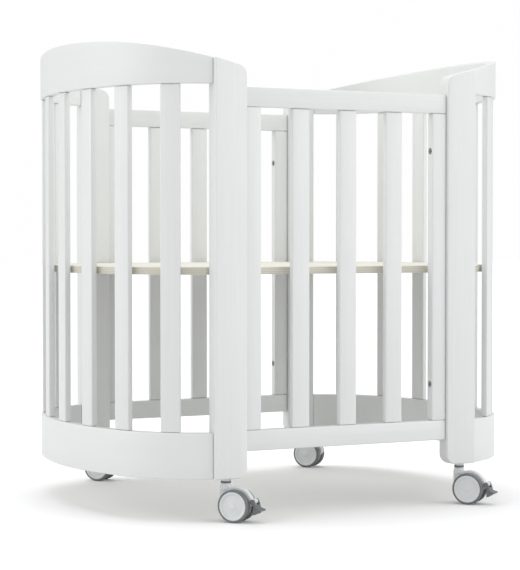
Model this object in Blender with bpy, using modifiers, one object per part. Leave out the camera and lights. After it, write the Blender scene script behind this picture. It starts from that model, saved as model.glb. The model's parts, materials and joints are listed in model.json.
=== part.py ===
"""Baby crib with two bulging slatted ends, a fixed bed board and four twin-wheel castors.

Metres, +Z up. X runs along the two flat side panels, -Y is the front, and the floor is z = 0.
The crib is drawn about its own middle and then moved so that the middle of its whole box,
castors included, stands over the origin.
"""
import math

import bmesh
import bpy
from mathutils import Matrix, Vector

# Overall sizes
POST_SPAN = 0.558          # over the outer edges of a left and a right post
CRIB_DEPTH = 0.678         # over the outer faces of a front and a back post
END_BULGE = 0.168          # how far a curved end stands out past its posts
POST_HEIGHT = 0.7625       # underside to the top of the outer edge
CASTOR_HEIGHT = 0.0775     # floor to the underside of a post
FIT_GAP = 0.0003           # left between faces that touch
EDGE_ROUND = 0.002

# Posts
POST_WIDTH = 0.0635
POST_THICKNESS = 0.030
POST_CORNER_RADIUS = 0.020
TOP_SLOPE = 0.25           # rise per length outwards, shared by the posts and the top bands

# Curved end bands: a flat middle arc and two tighter shoulder arcs
BAND_THICKNESS = 0.018
BAND_INSET = 0.009         # from a post's outer face to where the band's outer face meets it
BOTTOM_BAND_HEIGHT = 0.084
TOP_BAND_END_HEIGHT = 0.048
MIDDLE_ARC_ANGLE = math.radians(20.3)
POST_ARC_ANGLE = math.radians(70.8)
ARC_STEPS = 26

# End slats
END_SLAT_COUNT = 7
END_SLAT_MARGIN = 0.081    # along the band, from a post to the middle of the nearest slat
SLAT_WIDTH = 0.036
SLAT_THICKNESS = 0.012

# Side panels
PANEL_RECESS = 0.006       # the panel's outer face lies this far behind the posts' faces
PANEL_GAP = 0.0005
RAIL_THICKNESS = 0.018
TOP_RAIL_HEIGHT = 0.036
TOP_RAIL_DROP = 0.052      # from the top of a post's outer edge to the top of the rail
BOTTOM_RAIL_HEIGHT = 0.038
BOTTOM_RAIL_LIFT = 0.048   # from the underside of a post to the underside of the rail
STILE_WIDTH = 0.031
SIDE_SLAT_COUNT = 3
SIDE_SLAT_PITCH = 0.100

# Tenons
TENON_LENGTH = 0.010
TENON_SHOULDER = 0.003     # narrower than its board by this on every side

TENON_ROOT = 0.004         # how deep the root of a band's tenon lies in the band
BAND_TENON_THICKNESS = 0.010
BAND_TENON_MARGIN = 0.008  # from a band's edge to its tenon's

# Bed board
BOARD_LIFT = 0.3835        # underside of a post to the top of the board
BOARD_THICKNESS = 0.014
BOARD_CLEARANCE = 0.002
BOARD_TONGUE = 0.006       # how far the board enters the slot in a stile
BOARD_EDGE_ROUND = 0.001

# Bolts from the side panels into the posts
BOLT_HEAD_RADIUS = 0.0060
BOLT_HEAD_HEIGHT = 0.004
BOLT_RADIUS = 0.0030
BOLT_LENGTH = 0.062
COUNTERBORE_DEPTH = 0.006
COUNTERBORE_CLEARANCE = 0.0005
BOLT_END_DISTANCE = 0.108  # from a panel's end to its bolt
ROUND_STEPS = 16
OVERSHOOT = 0.002          # how far a cutter runs past the face it enters

# Castors
CASTOR_FROM_EDGE = 0.027  # the swivel's line, behind the post's outer edge
CASTOR_HEADING = math.radians(-51.2)  # from +X to the side on which the wheels trail
CASTOR_TRAIL = 0.022
WHEEL_RADIUS = 0.030
WHEEL_WIDTH = 0.013
WHEEL_STEPS = 24
AXLE_RADIUS = 0.003
WEB_THICKNESS = 0.013
WHEEL_CLEARANCE = 0.001
FENDER_RADIUS = 0.034
BOSS_RADIUS = 0.0095
BOSS_BOTTOM = 0.0615
BOSS_TOP = 0.0695
STEM_PIN_RADIUS = 0.004
STEM_PIN_DEPTH = 0.022
STEM_COLLAR_RADIUS = 0.0090
STEM_THREAD_RADIUS = 0.005
STEM_THREAD_LENGTH = 0.032
LEVER_WIDTH = 0.024
LEVER_PIN_RADIUS = 0.0018
LEVER_EYE_RADIUS = 0.0044
LEVER_SIDE_CLEARANCE = 0.0005
LUG_RADIUS = 0.0046
LEVER_HINGE = (0.035, 0.009)          # from the axle: along the trail, and up

POST_EDGE = POST_SPAN / 2
POST_FACE = CRIB_DEPTH / 2
BASE = CASTOR_HEIGHT
TOP = CASTOR_HEIGHT + POST_HEIGHT
BOARD_TOP = BASE + BOARD_LIFT
BOARD_BOTTOM = BOARD_TOP - BOARD_THICKNESS
PANEL_HALF = POST_EDGE - POST_WIDTH - PANEL_GAP
PANEL_FACE = POST_FACE - PANEL_RECESS
PANEL_MIDDLE = PANEL_FACE - RAIL_THICKNESS / 2
BOTTOM_RAIL_Z = BASE + BOTTOM_RAIL_LIFT
TOP_RAIL_Z = TOP - TOP_RAIL_DROP - TOP_RAIL_HEIGHT
STILE_MIDDLE = PANEL_HALF - STILE_WIDTH / 2

LACQUER = ("white_lacquer", (0.86, 0.87, 0.87), 0.35, 0.0)
PLYWOOD = ("cream_plywood", (0.72, 0.62, 0.45), 0.50, 0.0)
DARK_STEEL = ("dark_steel", (0.05, 0.05, 0.06), 0.35, 1.0)
ZINC = ("zinc_steel", (0.60, 0.61, 0.63), 0.30, 1.0)
PALE_PLASTIC = ("pale_grey_plastic", (0.66, 0.68, 0.69), 0.40, 0.0)
TYRE = ("grey_tyre", (0.16, 0.17, 0.18), 0.65, 0.0)
LEVER_PLASTIC = ("dark_grey_plastic", (0.12, 0.13, 0.14), 0.45, 0.0)


def clear_scene():
    for obj in list(bpy.data.objects):
        bpy.data.objects.remove(obj, do_unlink=True)


def new_collection(name):
    collection = bpy.data.collections.new(name)
    bpy.context.scene.collection.children.link(collection)
    return collection


clear_scene()
PARTS = new_collection("baby_crib")
CUTTERS = new_collection("cutters")


def material(finish):
    name, colour, roughness, metallic = finish
    found = bpy.data.materials.get(name)
    if found:
        return found
    made = bpy.data.materials.new(name)
    made.use_nodes = True
    shader = made.node_tree.nodes["Principled BSDF"]
    shader.inputs["Base Color"].default_value = (*colour, 1.0)
    shader.inputs["Roughness"].default_value = roughness
    shader.inputs["Metallic"].default_value = metallic
    made.diffuse_color = (*colour, 1.0)
    return made


def part(name, mesh, finish, matrix=None, parent=None):
    """Links a mesh as one piece. The matrix is its place inside its parent."""
    obj = bpy.data.objects.new(name, mesh)
    mesh.materials.append(material(finish))
    PARTS.objects.link(obj)
    obj.parent = parent or CRIB
    obj.matrix_local = matrix or Matrix()
    return obj


def empty(name, matrix=None, parent=None):
    obj = bpy.data.objects.new(name, None)
    obj.empty_display_size = 0.05
    PARTS.objects.link(obj)
    obj.parent = parent
    obj.matrix_local = matrix or Matrix()
    return obj


CRIB = empty("crib_frame")


def mesh_from(bm, name):
    mesh = bpy.data.meshes.new(name)
    bm.to_mesh(mesh)
    bm.free()
    return mesh


def add_box(bm, size, centre, turn=0.0):
    place = Matrix.Translation(centre) @ Matrix.Rotation(turn, 4, "Z") @ Matrix.Diagonal((*size, 1.0))
    bmesh.ops.create_cube(bm, size=1.0, matrix=place)


def add_rod(bm, radius, start, end, steps=ROUND_STEPS):
    """A cylinder between two points."""
    start = Vector(start)
    along = Vector(end) - start
    place = Matrix.Translation(start + along / 2) @ along.to_track_quat("Z", "Y").to_matrix().to_4x4()
    bmesh.ops.create_cone(
        bm, cap_ends=True, segments=steps, radius1=radius, radius2=radius, depth=along.length, matrix=place
    )


def outline_mesh(name, points, thickness):
    """A flat outline in XY, given its thickness evenly about z = 0."""
    curve = bpy.data.curves.new(name, "CURVE")
    curve.dimensions = "2D"
    curve.fill_mode = "BOTH"
    curve.extrude = thickness / 2
    spline = curve.splines.new("POLY")
    spline.points.add(len(points) - 1)
    for point, (x, y) in zip(spline.points, points):
        point.co = (x, y, 0.0, 1.0)
    spline.use_cyclic_u = True
    source = bpy.data.objects.new(name, curve)
    bpy.context.scene.collection.objects.link(source)
    graph = bpy.context.evaluated_depsgraph_get()
    mesh = bpy.data.meshes.new_from_object(source.evaluated_get(graph))
    bpy.data.objects.remove(source)
    bm = bmesh.new()
    bm.from_mesh(mesh)
    bmesh.ops.remove_doubles(bm, verts=bm.verts, dist=1e-6)
    bmesh.ops.dissolve_limit(bm, angle_limit=0.005, verts=bm.verts, edges=bm.edges)
    bmesh.ops.recalc_face_normals(bm, faces=bm.faces)
    bm.to_mesh(mesh)
    bm.free()
    mesh.materials.clear()
    return mesh


def stand_up(mesh):
    """Turns an outline drawn in XY so that its y becomes z."""
    mesh.transform(Matrix.Rotation(math.pi / 2, 4, "X"))
    return mesh


def arc(centre, radius, start, end, steps):
    """Points on an arc, angles in degrees."""
    angles = [math.radians(start + (end - start) * i / steps) for i in range(steps + 1)]
    return [(centre[0] + radius * math.cos(a), centre[1] + radius * math.sin(a)) for a in angles]


def round_edges(obj, width=EDGE_ROUND):
    bevel = obj.modifiers.new("rounded_edges", "BEVEL")
    bevel.width = width
    bevel.segments = 1
    bevel.limit_method = "ANGLE"
    bevel.angle_limit = math.radians(35)
    bevel.harden_normals = False


def boolean(obj, bm, name, operation="DIFFERENCE"):
    """Cuts away, or joins, the solids in bm, which are drawn in the frame of the piece's parent."""
    tool = bpy.data.objects.new(name, mesh_from(bm, name))
    CUTTERS.objects.link(tool)
    tool.parent = obj.parent
    tool.hide_render = True
    tool.display_type = "WIRE"
    modifier = obj.modifiers.new(name, "BOOLEAN")
    modifier.operation = operation
    modifier.solver = "EXACT"
    modifier.object = tool
    return tool


def turned(name, profile, finish, matrix, parent, steps=ROUND_STEPS):
    """A profile of (radius, height) points turned about Z, top to bottom on its outer side."""
    mesh = bpy.data.meshes.new(name)
    mesh.from_pydata([(r, 0.0, z) for r, z in profile], [(i, i + 1) for i in range(len(profile) - 1)], [])
    obj = part(name, mesh, finish, matrix, parent)
    screw = obj.modifiers.new("turned", "SCREW")
    screw.axis = "Z"
    screw.steps = steps
    screw.render_steps = steps
    screw.use_merge_vertices = True
    screw.merge_threshold = 1e-5
    screw.use_smooth_shade = True
    return obj


# The curved end in plan

def end_radii():
    """Middle and shoulder radii that give the end its width and its bulge."""
    half_width = POST_FACE - BAND_INSET
    s1, c1 = math.sin(MIDDLE_ARC_ANGLE), math.cos(MIDDLE_ARC_ANGLE)
    s2, c2 = math.sin(POST_ARC_ANGLE), math.cos(POST_ARC_ANGLE)
    determinant = s1 * (c1 - c2) - (s2 - s1) * (1 - c1)
    middle = (half_width * (c1 - c2) - END_BULGE * (s2 - s1)) / determinant
    shoulder = (END_BULGE * s1 - half_width * (1 - c1)) / determinant
    return middle, shoulder


MIDDLE_RADIUS, SHOULDER_RADIUS = end_radii()
END_APEX = POST_EDGE + END_BULGE
SHOULDER_X = END_APEX - MIDDLE_RADIUS + (MIDDLE_RADIUS - SHOULDER_RADIUS) * math.cos(MIDDLE_ARC_ANGLE)
SHOULDER_Y = (MIDDLE_RADIUS - SHOULDER_RADIUS) * math.sin(MIDDLE_ARC_ANGLE)


def end_point(angle, inset=0.0):
    """A point on the right end's outer face, moved inwards by inset. The angle is the face's normal."""
    if abs(angle) <= MIDDLE_ARC_ANGLE:
        centre_x, centre_y, radius = END_APEX - MIDDLE_RADIUS, 0.0, MIDDLE_RADIUS
    else:
        centre_x, centre_y, radius = SHOULDER_X, math.copysign(SHOULDER_Y, angle), SHOULDER_RADIUS
    radius -= inset
    return centre_x + radius * math.cos(angle), centre_y + radius * math.sin(angle)


def angle_at_post(inset):
    """The angle at which the face at this inset reaches the post."""
    return math.acos((POST_EDGE + FIT_GAP - SHOULDER_X) / (SHOULDER_RADIUS - inset))


def angle_along(distance):
    """The angle at a distance along the outer face from its middle."""
    middle_length = MIDDLE_RADIUS * MIDDLE_ARC_ANGLE
    if abs(distance) <= middle_length:
        return distance / MIDDLE_RADIUS
    past = (abs(distance) - middle_length) / SHOULDER_RADIUS
    return math.copysign(MIDDLE_ARC_ANGLE + past, distance)


def end_line(inset):
    """Points along a face of the right end, front to back."""
    limit = angle_at_post(inset)
    return [end_point(limit * (2 * i / ARC_STEPS - 1), inset) for i in range(ARC_STEPS + 1)]


def end_slat_angles():
    half_length = MIDDLE_RADIUS * MIDDLE_ARC_ANGLE + SHOULDER_RADIUS * (POST_ARC_ANGLE - MIDDLE_ARC_ANGLE)
    pitch = 2 * (half_length - END_SLAT_MARGIN) / (END_SLAT_COUNT - 1)
    middle = (END_SLAT_COUNT - 1) / 2
    return [angle_along((i - middle) * pitch) for i in range(END_SLAT_COUNT)]


def mirrored(points, side):
    return [(side * x, y) for x, y in points]


def top_at(x):
    """Height of the sloping top line."""
    return TOP + TOP_SLOPE * (abs(x) - POST_EDGE)


# Boards with tenons

def board_mesh(name, width, thickness, bottom, top):
    bm = bmesh.new()
    add_box(bm, (width, thickness, top - bottom), (0.0, 0.0, (top + bottom) / 2))
    return mesh_from(bm, name)


def tenoned_board(name, width, thickness, bottom, top, place):
    """An upright board between two rails, with a tenon at each end."""
    obj = part(name, board_mesh(name, width, thickness, bottom + FIT_GAP, top - FIT_GAP), LACQUER, place)
    round_edges(obj)
    bm = bmesh.new()
    size = (
        width - 2 * TENON_SHOULDER,
        thickness - 2 * TENON_SHOULDER,
        top - bottom + 2 * (TENON_LENGTH - FIT_GAP),
    )
    add_box(bm, size, (0.0, 0.0, (top + bottom) / 2))
    tool = boolean(obj, bm, name + "_tenons", "UNION")
    tool.matrix_local = place
    return obj


def add_mortise(bm, width, thickness, edge, direction, x, y, turn=0.0):
    """The hole for a tenon: it enters at height edge, upwards or downwards."""
    depth = TENON_LENGTH + FIT_GAP
    size = (
        width - 2 * TENON_SHOULDER + 2 * FIT_GAP,
        thickness - 2 * TENON_SHOULDER + 2 * FIT_GAP,
        depth + OVERSHOOT,
    )
    add_box(bm, size, (x, y, edge + direction * (depth - OVERSHOOT) / 2), turn)


# Posts

def post_outline(side):
    outer, inner = POST_EDGE, POST_EDGE - POST_WIDTH
    r = POST_CORNER_RADIUS
    slope_angle = math.degrees(math.atan(TOP_SLOPE))
    # the top corner's arc touches the sloping top line and the upright inner edge
    corner_z = top_at(inner + r) - r / math.cos(math.atan(TOP_SLOPE))
    points = [(outer, BASE), (outer, top_at(outer))]
    points += arc((inner + r, corner_z), r, 90 + slope_angle, 180, 6)
    points += arc((inner + r, BASE + r), r, 180, 270, 6)
    return mirrored(points, side)


def castor_place(side, facing):
    return Vector((side * (POST_EDGE - CASTOR_FROM_EDGE), facing * (POST_FACE - POST_THICKNESS / 2), 0.0))


def band_levels():
    bottom_band = (BASE, BASE + BOTTOM_BAND_HEIGHT)
    top_band = (TOP - TOP_BAND_END_HEIGHT, TOP)
    return bottom_band, top_band


def add_band_tenon(bm, side, facing, level, from_post, gap=0.0):
    """The tenon between a band and a post, from a distance past the post's edge into the post."""
    low, high = level
    start = POST_EDGE + from_post
    end = POST_EDGE - TENON_LENGTH - gap
    y = facing * (POST_FACE - BAND_INSET - BAND_THICKNESS / 2)
    size = (start - end, BAND_TENON_THICKNESS + 2 * gap, high - low - 2 * BAND_TENON_MARGIN + 2 * gap)
    add_box(bm, size, (side * (start + end) / 2, y, (low + high) / 2))


def make_post(name, side, facing):
    mesh = stand_up(outline_mesh(name, post_outline(side), POST_THICKNESS))
    centre_y = facing * (POST_FACE - POST_THICKNESS / 2)
    mesh.transform(Matrix.Translation((0.0, centre_y, 0.0)))
    obj = part(name, mesh, LACQUER)
    round_edges(obj)
    bm = bmesh.new()
    for level in band_levels():
        add_band_tenon(bm, side, facing, level, OVERSHOOT, FIT_GAP)
    for z in bolt_heights():
        start, end = bolt_line(side, facing, z)
        add_rod(bm, BOLT_RADIUS + FIT_GAP, start, end + Vector((side * FIT_GAP, 0.0, 0.0)))
    place = castor_place(side, facing)
    bottom = place + Vector((0.0, 0.0, BASE - OVERSHOOT))
    top = place + Vector((0.0, 0.0, BASE + STEM_THREAD_LENGTH + FIT_GAP))
    add_rod(bm, STEM_THREAD_RADIUS + FIT_GAP, bottom, top)
    boolean(obj, bm, name + "_holes")


# Side panels and their fixings

def bolt_heights():
    top = TOP_RAIL_Z + TOP_RAIL_HEIGHT
    return BOTTOM_RAIL_Z + BOLT_END_DISTANCE, top - BOLT_END_DISTANCE


def bolt_line(side, facing, z):
    """From under a bolt's head, just clear of its counterbore's floor, to its tip in the post."""
    y = facing * PANEL_MIDDLE
    head = PANEL_HALF - STILE_WIDTH + COUNTERBORE_DEPTH - FIT_GAP
    return Vector((side * head, y, z)), Vector((side * (head + BOLT_LENGTH), y, z))


def make_rail(name, facing, bottom, height, mortise_edge, direction):
    bm = bmesh.new()
    add_box(bm, (2 * PANEL_HALF, RAIL_THICKNESS, height), (0.0, facing * PANEL_MIDDLE, bottom + height / 2))
    obj = part(name, mesh_from(bm, name), LACQUER)
    round_edges(obj)
    bm = bmesh.new()
    for x in side_slat_positions():
        add_mortise(bm, SLAT_WIDTH, SLAT_THICKNESS, mortise_edge, direction, x, facing * PANEL_MIDDLE)
    for side in (-1, 1):
        x = side * STILE_MIDDLE
        add_mortise(bm, STILE_WIDTH, RAIL_THICKNESS, mortise_edge, direction, x, facing * PANEL_MIDDLE)
    boolean(obj, bm, name + "_mortises")


def side_slat_positions():
    middle = (SIDE_SLAT_COUNT - 1) / 2
    return [(i - middle) * SIDE_SLAT_PITCH for i in range(SIDE_SLAT_COUNT)]


def make_stile(name, side, facing):
    bottom = BOTTOM_RAIL_Z + BOTTOM_RAIL_HEIGHT
    place = Matrix.Translation((side * STILE_MIDDLE, facing * PANEL_MIDDLE, 0.0))
    obj = tenoned_board(name, STILE_WIDTH, RAIL_THICKNESS, bottom, TOP_RAIL_Z, place)
    bm = bmesh.new()
    for z in bolt_heights():
        start, end = bolt_line(side, facing, z)
        counterbore_floor = start + Vector((side * FIT_GAP, 0.0, 0.0))
        profile = [
            (0.0, BOLT_LENGTH), (BOLT_RADIUS + FIT_GAP, BOLT_LENGTH), (BOLT_RADIUS + FIT_GAP, 0.0),
            (BOLT_HEAD_RADIUS + COUNTERBORE_CLEARANCE, 0.0),
            (BOLT_HEAD_RADIUS + COUNTERBORE_CLEARANCE, -COUNTERBORE_DEPTH - OVERSHOOT),
            (0.0, -COUNTERBORE_DEPTH - OVERSHOOT),
        ]
        add_turned(bm, profile, counterbore_floor, end)
    slot_width, slot_reach = tongue_size()
    slot_start = PANEL_FACE - RAIL_THICKNESS - OVERSHOOT
    slot_end = slot_reach + FIT_GAP
    size = (slot_width + 2 * FIT_GAP, slot_end - slot_start, BOARD_THICKNESS + 2 * FIT_GAP)
    middle_z = BOARD_TOP - BOARD_THICKNESS / 2
    add_box(bm, size, (side * STILE_MIDDLE, facing * (slot_start + slot_end) / 2, middle_z))
    boolean(obj, bm, name + "_holes")


def make_panel(label, facing):
    make_rail(label + "_bottom_rail", facing, BOTTOM_RAIL_Z, BOTTOM_RAIL_HEIGHT,
              BOTTOM_RAIL_Z + BOTTOM_RAIL_HEIGHT, -1)
    make_rail(label + "_top_rail", facing, TOP_RAIL_Z, TOP_RAIL_HEIGHT, TOP_RAIL_Z, 1)
    bottom = BOTTOM_RAIL_Z + BOTTOM_RAIL_HEIGHT
    for number, x in enumerate(side_slat_positions(), 1):
        place = Matrix.Translation((x, facing * PANEL_MIDDLE, 0.0))
        tenoned_board(f"{label}_slat_{number}", SLAT_WIDTH, SLAT_THICKNESS, bottom, TOP_RAIL_Z, place)
    for side, hand in ((-1, "left"), (1, "right")):
        make_stile(f"{label}_stile_{hand}", side, facing)


# Curved ends

def slat_line(side, angle):
    """Middle of an end slat in plan, and the turn that lays its width along the band."""
    x, y = end_point(angle, BAND_THICKNESS / 2)
    turn = math.pi / 2 + angle
    if side < 0:
        return -x, y, math.pi - turn
    return x, y, turn


def band_mesh(name, side, bottom, top):
    outer = end_line(0.0)
    inner = end_line(BAND_THICKNESS)
    mesh = outline_mesh(name, mirrored(outer + inner[::-1], side), top - bottom)
    mesh.transform(Matrix.Translation((0.0, 0.0, (top + bottom) / 2)))
    return mesh


def cut_band_top(obj, side):
    """Takes everything above the sloping line off a top band."""
    start, end = POST_EDGE - 0.05, END_APEX + 0.05
    high = top_at(end) + 0.05
    outline = [(start, top_at(start)), (end, top_at(end)), (end, high), (start, high)]
    mesh = stand_up(outline_mesh(obj.name + "_slope", mirrored(outline, side), CRIB_DEPTH + 0.1))
    bm = bmesh.new()
    bm.from_mesh(mesh)
    boolean(obj, bm, obj.name + "_slope_cut")


def make_band(name, side, level, mortise_edge, direction):
    low, high = level
    is_top = direction > 0
    full_height = top_at(END_APEX) + 0.002 if is_top else high
    obj = part(name, band_mesh(name, side, low, full_height), LACQUER)
    if is_top:
        cut_band_top(obj, side)
    round_edges(obj)
    bm = bmesh.new()
    for angle in end_slat_angles():
        x, y, turn = slat_line(side, angle)
        add_mortise(bm, SLAT_WIDTH, SLAT_THICKNESS, mortise_edge, direction, x, y, turn)
    boolean(obj, bm, name + "_mortises")
    bm = bmesh.new()
    for facing in (-1, 1):
        add_band_tenon(bm, side, facing, level, TENON_ROOT)
    boolean(obj, bm, name + "_tenons", "UNION")


def make_end(hand, side):
    bottom_level, top_level = band_levels()
    make_band(f"{hand}_end_bottom_band", side, bottom_level, bottom_level[1], -1)
    make_band(f"{hand}_end_top_band", side, top_level, top_level[0], 1)
    for number, angle in enumerate(end_slat_angles(), 1):
        x, y, turn = slat_line(side, angle)
        place = Matrix.Translation((x, y, 0.0)) @ Matrix.Rotation(turn, 4, "Z")
        name = f"{hand}_end_slat_{number}"
        tenoned_board(name, SLAT_WIDTH, SLAT_THICKNESS, bottom_level[1], top_level[0], place)


# Bed board

def tongue_size():
    """Width of the board's tongue in a stile, and how far its end lies from the middle of the crib."""
    return STILE_WIDTH - 2 * TENON_SHOULDER, PANEL_FACE - RAIL_THICKNESS + BOARD_TONGUE


def board_outline():
    """Follows the inside of both ends, runs straight past the posts and enters the four stiles."""
    inset = BAND_THICKNESS + BOARD_CLEARANCE
    half_depth = POST_FACE - POST_THICKNESS - BOARD_CLEARANCE
    width, reach = tongue_size()
    near, far = STILE_MIDDLE - width / 2, STILE_MIDDLE + width / 2
    front_tongue = [(near, -half_depth), (near, -reach), (far, -reach), (far, -half_depth)]
    right_end = [(x, max(-half_depth, min(half_depth, y))) for x, y in end_line(inset)]
    back_tongue = [(x, -y) for x, y in reversed(front_tongue)]
    right = front_tongue + right_end + back_tongue
    return right + mirrored(right[::-1], -1)


def make_board():
    mesh = outline_mesh("bed_board", board_outline(), BOARD_THICKNESS)
    mesh.transform(Matrix.Translation((0.0, 0.0, BOARD_TOP - BOARD_THICKNESS / 2)))
    obj = part("bed_board", mesh, PLYWOOD)
    round_edges(obj, BOARD_EDGE_ROUND)


# Bolts

def add_turned(bm, profile, start, end):
    """A solid turned about the line from start to end. The profile's heights are measured from start."""
    along = (end - start).normalized()
    place = Matrix.Translation(start) @ along.to_track_quat("Z", "Y").to_matrix().to_4x4()
    solid = bmesh.new()
    points = [solid.verts.new((r, 0.0, z)) for r, z in profile]
    edges = [solid.edges.new(pair) for pair in zip(points, points[1:])]
    bmesh.ops.spin(
        solid, geom=points + edges, cent=(0, 0, 0), axis=(0, 0, 1), angle=2 * math.pi,
        steps=ROUND_STEPS, use_merge=True,
    )
    bmesh.ops.remove_doubles(solid, verts=solid.verts, dist=1e-6)
    bmesh.ops.recalc_face_normals(solid, faces=solid.faces)
    bmesh.ops.transform(solid, matrix=place, verts=solid.verts)
    bm.from_mesh(mesh_from(solid, "turned"))


def make_bolts(label, side, facing):
    """Two bolts with flat heads, through a stile and into its post."""
    profile = [
        (0.0, BOLT_LENGTH), (BOLT_RADIUS, BOLT_LENGTH), (BOLT_RADIUS, 0.0), (BOLT_HEAD_RADIUS, 0.0),
        (BOLT_HEAD_RADIUS, -BOLT_HEAD_HEIGHT * 0.7), (BOLT_HEAD_RADIUS * 0.85, -BOLT_HEAD_HEIGHT),
        (0.0, -BOLT_HEAD_HEIGHT),
    ]
    for where, z in zip(("lower", "upper"), bolt_heights()):
        bm = bmesh.new()
        add_turned(bm, profile, *bolt_line(side, facing, z))
        name = f"{label}_{where}_bolt"
        mesh = mesh_from(bm, name)
        mesh.shade_smooth()
        mesh.set_sharp_from_angle(angle=math.radians(40))
        part(name, mesh, DARK_STEEL)


# Castors. Inside a castor x is the side on which the wheels trail, y is the axle, and z = 0 is the floor.

def web_outline():
    """Side view of the fork between the wheels, about the axle."""
    boss_right = BOSS_RADIUS - CASTOR_TRAIL
    boss_left = -BOSS_RADIUS - CASTOR_TRAIL
    boss_top = BOSS_BOTTOM + 0.003 - WHEEL_RADIUS
    neck = math.degrees(math.acos(boss_right / FENDER_RADIUS))
    hub = 0.016
    points = arc((0.0, 0.0), FENDER_RADIUS, 8.0, neck, 10)
    points += [(boss_right, boss_top), (boss_left, boss_top), (boss_left, hub * 0.75)]
    points += arc((0.0, 0.0), hub, 200.0, 340.0, 6)
    points += [(FENDER_RADIUS * 0.82, -0.002)]
    return points


def make_housing(name, parent, braked):
    mesh = stand_up(outline_mesh(name, web_outline(), WEB_THICKNESS))
    mesh.transform(Matrix.Translation((CASTOR_TRAIL, 0.0, WHEEL_RADIUS)))
    obj = part(name, mesh, PALE_PLASTIC, parent=parent)
    boss = bmesh.new()
    add_rod(boss, BOSS_RADIUS, (0, 0, BOSS_BOTTOM), (0, 0, BOSS_TOP), 20)
    boolean(obj, boss, name + "_boss", "UNION")
    if braked:
        lug = bmesh.new()
        x, z = hinge_place()
        add_rod(lug, LUG_RADIUS, (x, -WEB_THICKNESS / 2, z), (x, WEB_THICKNESS / 2, z))
        boolean(obj, lug, name + "_lug", "UNION")
    bores = bmesh.new()
    pin_bottom = BOSS_TOP - STEM_PIN_DEPTH - FIT_GAP
    add_rod(bores, STEM_PIN_RADIUS + FIT_GAP, (0, 0, pin_bottom), (0, 0, BOSS_TOP + OVERSHOOT), 20)
    wide = WEB_THICKNESS
    x, z = CASTOR_TRAIL, WHEEL_RADIUS
    add_rod(bores, AXLE_RADIUS + FIT_GAP, (x, -wide, z), (x, wide, z), WHEEL_STEPS)
    if braked:
        x, z = hinge_place()
        add_rod(bores, LEVER_PIN_RADIUS + FIT_GAP, (x, -wide, z), (x, wide, z))
    boolean(obj, bores, name + "_bores")


def make_stem(name, parent):
    pin_bottom = BOSS_TOP - STEM_PIN_DEPTH
    collar_bottom = BOSS_TOP + FIT_GAP
    collar_top = BASE - FIT_GAP
    profile = [
        (0.0, BASE + STEM_THREAD_LENGTH), (STEM_THREAD_RADIUS, BASE + STEM_THREAD_LENGTH),
        (STEM_THREAD_RADIUS, collar_top), (STEM_COLLAR_RADIUS, collar_top),
        (STEM_COLLAR_RADIUS, collar_bottom), (STEM_PIN_RADIUS, collar_bottom),
        (STEM_PIN_RADIUS, pin_bottom), (0.0, pin_bottom),
    ]
    turned(name, profile, ZINC, Matrix(), parent, 20)


def make_wheels(name, parent):
    """Two wheels and the axle they are pressed on, turned about the axle."""
    near = WEB_THICKNESS / 2 + WHEEL_CLEARANCE
    far = near + WHEEL_WIDTH
    r = WHEEL_RADIUS
    upper = [
        (0.0, far - 0.0010), (r * 0.80, far - 0.0020), (r * 0.86, far), (r * 0.95, far - 0.0004),
        (r, far - 0.0025), (r, near + 0.0025), (r * 0.95, near), (AXLE_RADIUS, near),
    ]
    lower = [(radius, -height) for radius, height in reversed(upper)]
    turned(name, upper + lower, TYRE, Matrix.Rotation(-math.pi / 2, 4, "X"), parent, WHEEL_STEPS)


def hinge_place():
    return CASTOR_TRAIL + LEVER_HINGE[0], WHEEL_RADIUS + LEVER_HINGE[1]


def lever_outline():
    """Side view of the brake pedal about its hinge."""
    return arc((0.0, 0.0), LEVER_EYE_RADIUS, 130.0, 20.0, 5) + [
        (0.0064, -0.0040), (0.0074, -0.0095), (0.0105, -0.0125), (0.0172, -0.0140), (0.0174, -0.0168),
        (0.0105, -0.0180), (0.0068, -0.0225), (0.0012, -0.0240), (0.0016, -0.0180), (0.0025, -0.0090),
    ] + arc((0.0, 0.0), LEVER_EYE_RADIUS, 290.0, 250.0, 2)


def make_lever(name, parent):
    mesh = stand_up(outline_mesh(name, lever_outline(), LEVER_WIDTH))
    obj = part(name, mesh, LEVER_PLASTIC, parent=parent)
    slot = bmesh.new()
    width = WEB_THICKNESS + 2 * LEVER_SIDE_CLEARANCE
    size = 2 * (LUG_RADIUS + OVERSHOOT)
    add_box(slot, (size, width, size), (0.0, 0.0, 0.0))
    boolean(obj, slot, name + "_slot")
    pin = bmesh.new()
    reach = (width + LEVER_WIDTH) / 4
    add_rod(pin, LEVER_PIN_RADIUS, (0, -reach, 0), (0, reach, 0))
    boolean(obj, pin, name + "_pin", "UNION")


def make_castor(label, side, facing, braked):
    heading = Matrix.Rotation(CASTOR_HEADING, 4, "Z")
    swivel = empty(label + "_swivel", Matrix.Translation(castor_place(side, facing)) @ heading, CRIB)
    make_stem(label + "_stem", swivel)
    make_housing(label + "_housing", swivel, braked)
    axle_place = Matrix.Translation((CASTOR_TRAIL, 0.0, WHEEL_RADIUS))
    make_wheels(label + "_wheel_pair", empty(label + "_spin", axle_place, swivel))
    if braked:
        x, z = hinge_place()
        make_lever(label + "_brake_lever", empty(label + "_hinge", Matrix.Translation((x, 0.0, z)), swivel))


def centre_over_origin():
    """Moves the crib so that the middle of its whole box stands over the origin."""
    bpy.context.view_layer.update()
    graph = bpy.context.evaluated_depsgraph_get()
    corners = []
    for obj in PARTS.objects:
        if obj.type == "MESH":
            seen = obj.evaluated_get(graph)
            corners += [seen.matrix_world @ vertex.co for vertex in seen.to_mesh().vertices]
            seen.to_mesh_clear()
    for axis in (0, 1):
        values = [corner[axis] for corner in corners]
        CRIB.location[axis] = -(min(values) + max(values)) / 2


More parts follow.
